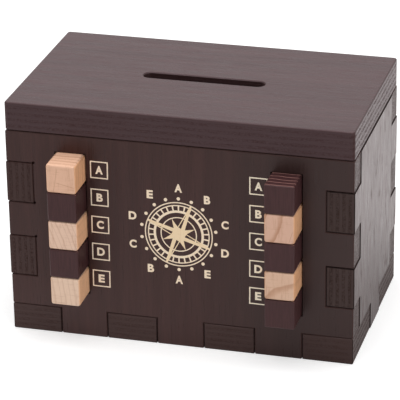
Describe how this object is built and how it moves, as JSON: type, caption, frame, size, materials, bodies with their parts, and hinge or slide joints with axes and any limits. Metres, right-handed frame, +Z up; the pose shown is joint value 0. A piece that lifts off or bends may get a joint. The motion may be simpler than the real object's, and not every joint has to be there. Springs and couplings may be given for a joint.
{
  "type": "wooden money box",
  "caption": "Dark-stained finger-jointed plywood money box with a slotted lift-off lid that lettered push bars on the front lock by pegs and hanging combs.",
  "frame": {"origin": "centre of the underside of the box, on the surface it stands on", "axes": "+X along the front, +Y from the front with the knobs to the back, +Z up"},
  "size_m": [0.145, 0.0978, 0.1014],
  "materials": {
    "stained_plywood": "dark brown stain, satin lacquer",
    "stained_knob": "dark red-brown stain on plywood",
    "pine_knob": "clear lacquered pine",
    "bare_plywood": "bare birch plywood",
    "beech": "planed beech"
  },
  "bodies": {
    "box": {"front_panel": "stained_plywood", "back_panel": "stained_plywood", "left_panel": "stained_plywood", "right_panel": "stained_plywood", "bottom_panel": "stained_plywood", "left_partition": "bare_plywood", "right_partition": "bare_plywood", "left_guide": "bare_plywood", "right_guide": "bare_plywood"},
    "lid": {"lid_board": "stained_plywood", "front_batten": "bare_plywood", "rear_batten": "bare_plywood", "left_comb": "bare_plywood", "right_comb": "bare_plywood"},
    "bar_left_a": {"knob_left_a": "pine_knob", "slide_left_a": "beech", "peg_left_a": "beech"},
    "bar_left_b": {"knob_left_b": "stained_knob", "slide_left_b": "beech", "peg_left_b": "beech"},
    "bar_left_c": {"knob_left_c": "pine_knob", "slide_left_c": "beech", "peg_left_c": "beech"},
    "bar_left_d": {"knob_left_d": "stained_knob", "slide_left_d": "beech", "peg_left_d": "beech"},
    "bar_left_e": {"knob_left_e": "pine_knob", "slide_left_e": "beech", "peg_left_e": "beech"},
    "bar_right_a": {"knob_right_a": "stained_knob", "slide_right_a": "beech", "peg_right_a": "beech"},
    "bar_right_b": {"knob_right_b": "pine_knob", "slide_right_b": "beech", "peg_right_b": "beech"},
    "bar_right_c": {"knob_right_c": "stained_knob", "slide_right_c": "beech", "peg_right_c": "beech"},
    "bar_right_d": {"knob_right_d": "pine_knob", "slide_right_d": "beech", "peg_right_d": "beech"},
    "bar_right_e": {"knob_right_e": "stained_knob", "slide_right_e": "beech", "peg_right_e": "beech"}
  },
  "joints": [
    {"name": "lid_lift", "type": "slide", "parent": "box", "child": "lid", "axis": [0, 0, 1], "range_m": [0, 0.075]},
    {"name": "push_left_a", "type": "slide", "parent": "box", "child": "bar_left_a", "axis": [0, 1, 0], "range_m": [0, 0.009]},
    {"name": "push_left_b", "type": "slide", "parent": "box", "child": "bar_left_b", "axis": [0, 1, 0], "range_m": [0, 0.009]},
    {"name": "push_left_c", "type": "slide", "parent": "box", "child": "bar_left_c", "axis": [0, 1, 0], "range_m": [0, 0.009]},
    {"name": "push_left_d", "type": "slide", "parent": "box", "child": "bar_left_d", "axis": [0, 1, 0], "range_m": [0, 0.009]},
    {"name": "push_left_e", "type": "slide", "parent": "box", "child": "bar_left_e", "axis": [0, 1, 0], "range_m": [0, 0.009]},
    {"name": "push_right_a", "type": "slide", "parent": "box", "child": "bar_right_a", "axis": [0, 1, 0], "range_m": [0, 0.009]},
    {"name": "push_right_b", "type": "slide", "parent": "box", "child": "bar_right_b", "axis": [0, 1, 0], "range_m": [0, 0.009]},
    {"name": "push_right_c", "type": "slide", "parent": "box", "child": "bar_right_c", "axis": [0, 1, 0], "range_m": [0, 0.009]},
    {"name": "push_right_d", "type": "slide", "parent": "box", "child": "bar_right_d", "axis": [0, 1, 0], "range_m": [0, 0.009]},
    {"name": "push_right_e", "type": "slide", "parent": "box", "child": "bar_right_e", "axis": [0, 1, 0], "range_m": [0, 0.009]}
  ]
}
